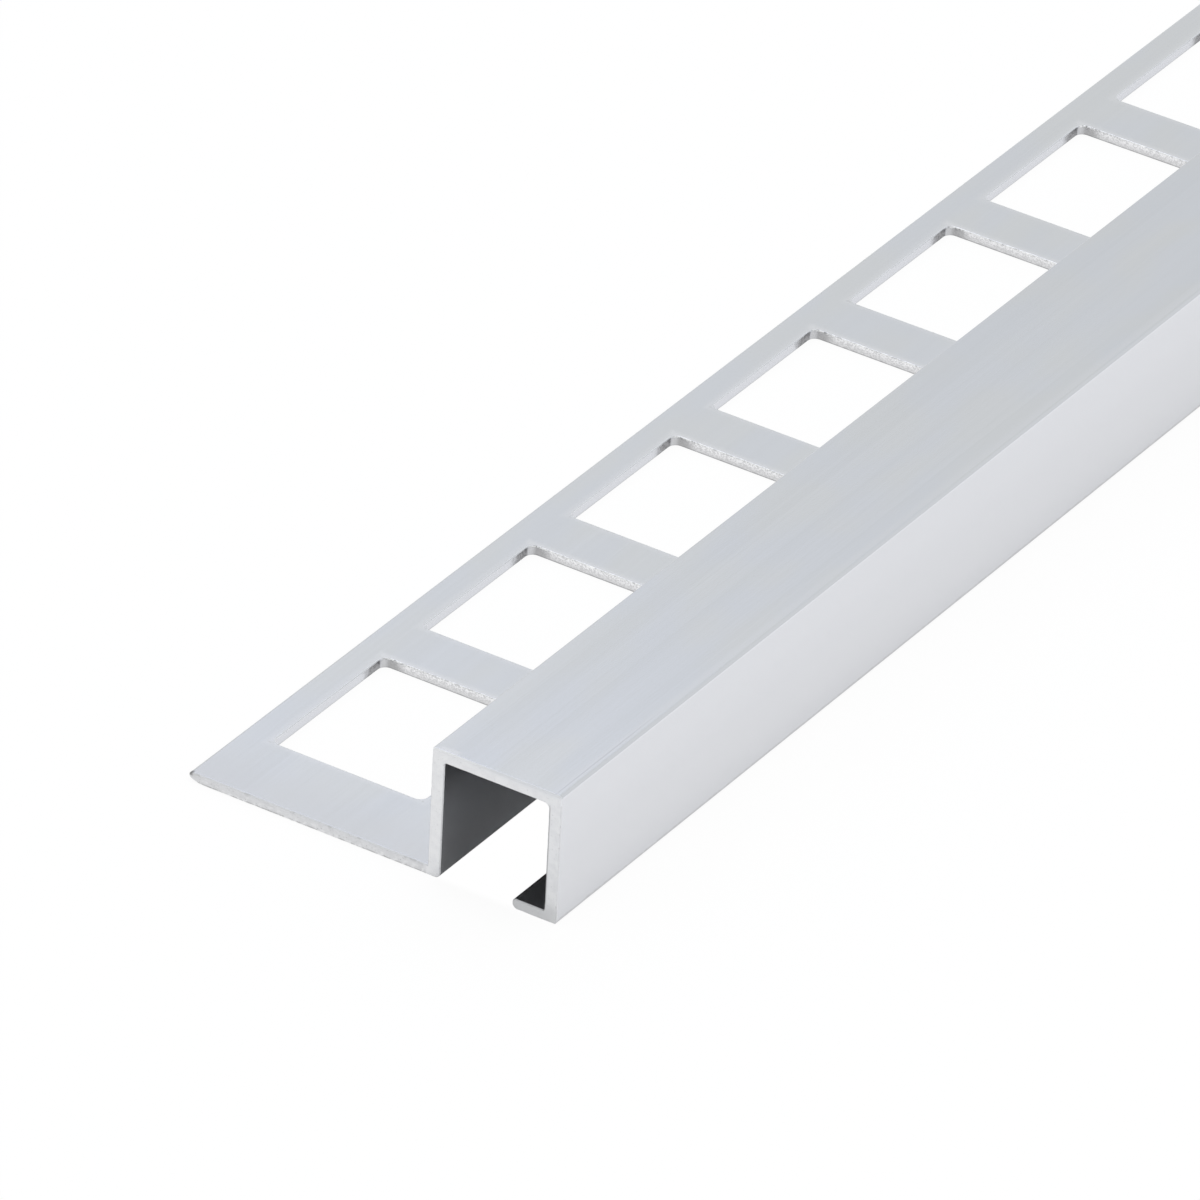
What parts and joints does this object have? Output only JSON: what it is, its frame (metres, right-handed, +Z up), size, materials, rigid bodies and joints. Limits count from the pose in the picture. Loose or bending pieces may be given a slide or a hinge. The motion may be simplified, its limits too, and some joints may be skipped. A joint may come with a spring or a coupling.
{
  "type": "square edge tile profile",
  "caption": "Extruded aluminium edge profile: an open square front with a return lip and a flat punched leg that is bedded in tile adhesive.",
  "frame": {"origin": "middle of the length and of the overall width, on the underside that is bedded in the adhesive", "axes": "+Z up from the bedding plane to the finished top, +Y along the length away from the end shown first, +X from the punched leg to the square front"},
  "size_m": [0.0322, 1, 0.011],
  "materials": {
    "anodised_aluminium": "satin silver anodised, with a bare saw cut at each end"
  },
  "bodies": {
    "root": {"square_profile": "anodised_aluminium"}
  },
  "joints": []
}
